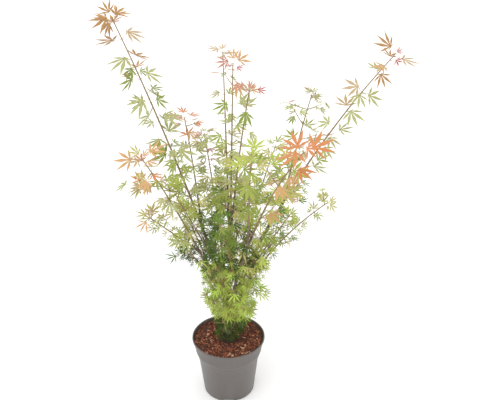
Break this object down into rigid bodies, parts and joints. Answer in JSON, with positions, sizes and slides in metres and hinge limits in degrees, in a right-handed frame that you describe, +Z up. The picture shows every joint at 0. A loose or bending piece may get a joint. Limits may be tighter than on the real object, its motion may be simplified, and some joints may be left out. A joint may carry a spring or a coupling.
{
  "type": "potted japanese maple",
  "caption": "Young many-stemmed Japanese maple with lobed green and orange leaves in a tapered round nursery pot.",
  "frame": {"origin": "centre of the pot's flat underside, on the ground", "axes": "+Z up along the pot's axis, -Y towards the viewer of the picture, +X to the viewer's right"},
  "size_m": [0.7129, 0.6008, 1.0012],
  "materials": {
    "pot": "satin grey-brown moulded plastic",
    "soil": "coarse bark mulch",
    "bark": "smooth young bark",
    "foliage": "thin satin leaves, green with orange and red tips"
  },
  "bodies": {
    "root": {"nursery_pot": "pot", "bark_soil": "soil", "trunk": "bark", "bough_centre_leader": "bark", "bough_left_leader": "bark", "bough_right_leader": "bark", "bough_front_leader": "bark", "bough_left_low": "bark", "bough_right_low": "bark", "bough_back_left": "bark", "bough_back_right": "bark", "bough_back_low": "bark", "bough_side_back": "bark", "bough_back_upright": "bark", "bough_slim_upright": "bark", "bough_left_upright": "bark", "bough_left_outer": "bark", "bough_right_back": "bark", "bough_right_upright": "bark", "bough_front_upright": "bark", "bough_right_front": "bark", "bough_mid_left": "bark", "bough_mid_front": "bark", "bough_mid_right": "bark", "leaves_centre_leader": "foliage", "leaves_left_leader": "foliage", "leaves_right_leader": "foliage", "leaves_front_leader": "foliage", "leaves_left_low": "foliage", "leaves_right_low": "foliage", "leaves_back_left": "foliage", "leaves_back_right": "foliage", "leaves_back_low": "foliage", "leaves_side_back": "foliage", "leaves_back_upright": "foliage", "leaves_slim_upright": "foliage", "leaves_left_upright": "foliage", "leaves_left_outer": "foliage", "leaves_right_back": "foliage", "leaves_right_upright": "foliage", "leaves_front_upright": "foliage", "leaves_right_front": "foliage", "leaves_mid_left": "foliage", "leaves_mid_front": "foliage", "leaves_mid_right": "foliage", "leaves_column_1": "foliage", "leaves_column_2": "foliage", "leaves_column_3": "foliage", "leaves_column_4": "foliage", "leaves_column_5": "foliage", "leaves_column_6": "foliage", "leaves_skirt_upper_1": "foliage", "leaves_skirt_upper_2": "foliage", "leaves_skirt_upper_3": "foliage", "leaves_skirt_upper_4": "foliage", "leaves_skirt_lower_1": "foliage", "leaves_skirt_lower_2": "foliage", "leaves_skirt_lower_3": "foliage", "leaves_skirt_lower_4": "foliage"}
  },
  "joints": []
}
